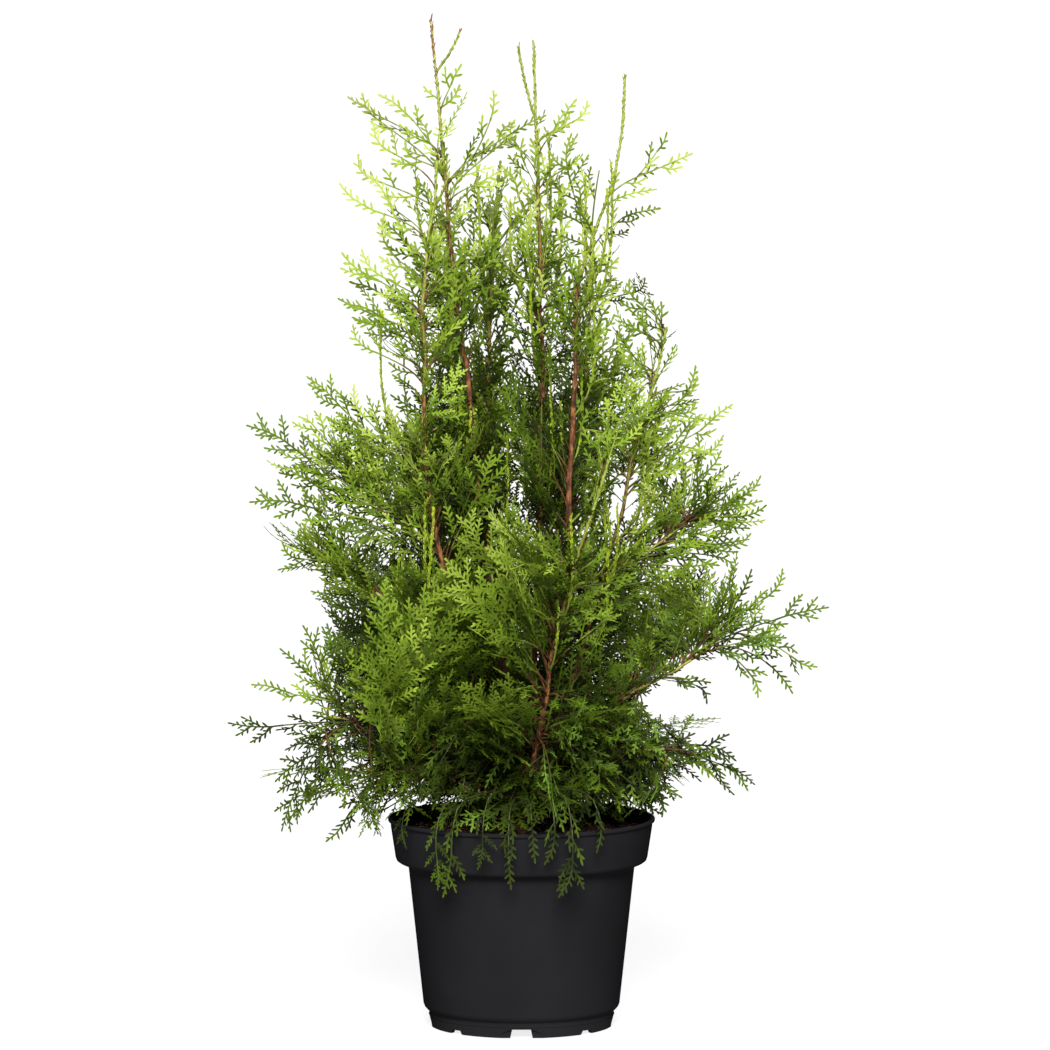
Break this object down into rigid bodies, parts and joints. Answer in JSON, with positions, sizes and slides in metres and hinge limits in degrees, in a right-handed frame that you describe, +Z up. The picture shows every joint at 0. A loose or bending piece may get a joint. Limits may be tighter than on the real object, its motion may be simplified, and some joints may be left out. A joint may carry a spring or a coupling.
{
  "type": "potted thuja shrub",
  "caption": "Young several-stemmed thuja with loose fern-like sprays on a narrow upright crown, growing in a round black plastic nursery pot.",
  "frame": {"origin": "on the floor under the pot's axis, level with the underside of the pot's foot ring", "axes": "+Z up the stems, -Y towards the front of the plant, +X to the right of someone facing that front"},
  "size_m": [0.5098, 0.3724, 0.8731],
  "materials": {
    "pot": "moulded black polypropylene with a soft satin sheen",
    "compost": "moist dark red-brown peat with fine fibres",
    "bark": "thin stringy red-brown bark, yellow-green on the young tips",
    "young_foliage": "this year's yellow-green scale leaves in flat sprays, slightly waxy",
    "foliage": "mid to deep green scale leaves in flat sprays, slightly waxy"
  },
  "bodies": {
    "root": {"pot": "pot", "compost": "compost", "stool": "bark", "leader_left": "bark", "leader_middle": "bark", "leader_right": "bark", "leader_right_tip": "bark", "stem_left": "bark", "stem_right": "bark", "stem_front": "bark", "stem_back_left": "bark", "stem_back_right": "bark", "bough_left_high": "bark", "bough_left_middle": "bark", "bough_left_low": "bark", "bough_left_foot": "bark", "bough_right_high": "bark", "bough_right_arm": "bark", "bough_right_low": "bark", "top_left_high": "young_foliage", "top_left_low": "young_foliage", "top_left_inner": "young_foliage", "top_between": "young_foliage", "top_middle_right": "young_foliage", "top_right_outer": "young_foliage", "top_right_inner": "young_foliage", "top_back": "young_foliage", "upper_left": "young_foliage", "upper_middle": "young_foliage", "upper_right": "young_foliage", "upper_left_outer": "young_foliage", "upper_right_outer": "young_foliage", "mid_left": "foliage", "mid_left_outer": "foliage", "mid_front": "foliage", "mid_right": "foliage", "mid_right_outer": "foliage", "mid_back_left": "foliage", "mid_back_right": "foliage", "left_arm_high": "foliage", "left_arm_middle": "foliage", "left_arm_lower": "foliage", "belt_left": "foliage", "belt_front": "foliage", "belt_right": "foliage", "right_shoulder": "foliage", "back_left": "foliage", "back_right": "foliage", "right_arm": "foliage", "left_low_arm": "foliage", "left_foot": "foliage", "right_low_arm": "foliage", "low_left": "foliage", "low_right": "foliage", "low_front": "foliage", "front_drape_left": "foliage", "front_drape_right": "foliage", "low_back_left": "foliage", "low_back_middle": "foliage", "low_back_right": "foliage"}
  },
  "joints": []
}
